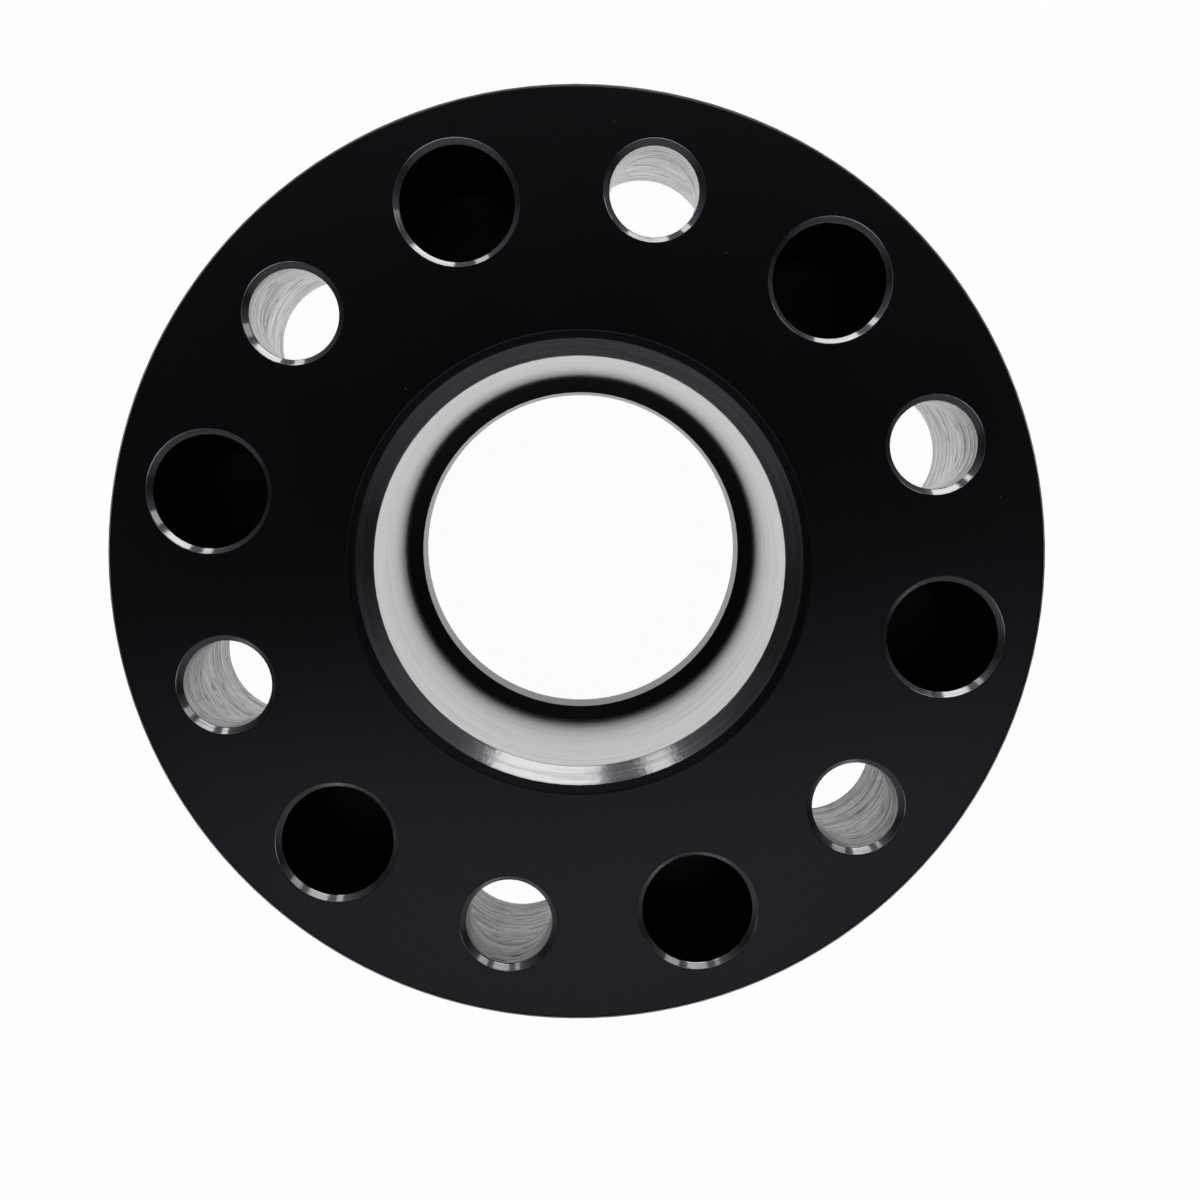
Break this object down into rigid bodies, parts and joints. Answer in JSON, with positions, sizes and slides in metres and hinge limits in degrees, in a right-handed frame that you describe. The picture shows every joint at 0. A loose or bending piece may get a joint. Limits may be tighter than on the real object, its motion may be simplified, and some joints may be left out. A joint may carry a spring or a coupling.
{
  "type": "wheel spacer",
  "caption": "Black anodised aluminium bolt-on wheel spacer with press-in wheel studs, a stepped hub bore and a centring lip for the wheel.",
  "frame": {"origin": "on the axis of the bore, in the plane of the wheel studs' tips, on which the spacer stands; the hub face is 82.8 mm above it", "axes": "+Z along the axis, out of the hub face towards the vehicle's hub; +X through the first wheel stud"},
  "size_m": [0.175, 0.175, 0.0828],
  "materials": {
    "anodised_aluminium": "black anodised satin, bare machined metal in the bore, the nut holes and on their chamfers",
    "stud_steel": "black oxide"
  },
  "bodies": {
    "root": {"spacer_body": "anodised_aluminium", "wheel_stud_1": "stud_steel", "wheel_stud_2": "stud_steel", "wheel_stud_3": "stud_steel", "wheel_stud_4": "stud_steel", "wheel_stud_5": "stud_steel", "wheel_stud_6": "stud_steel"}
  },
  "joints": []
}
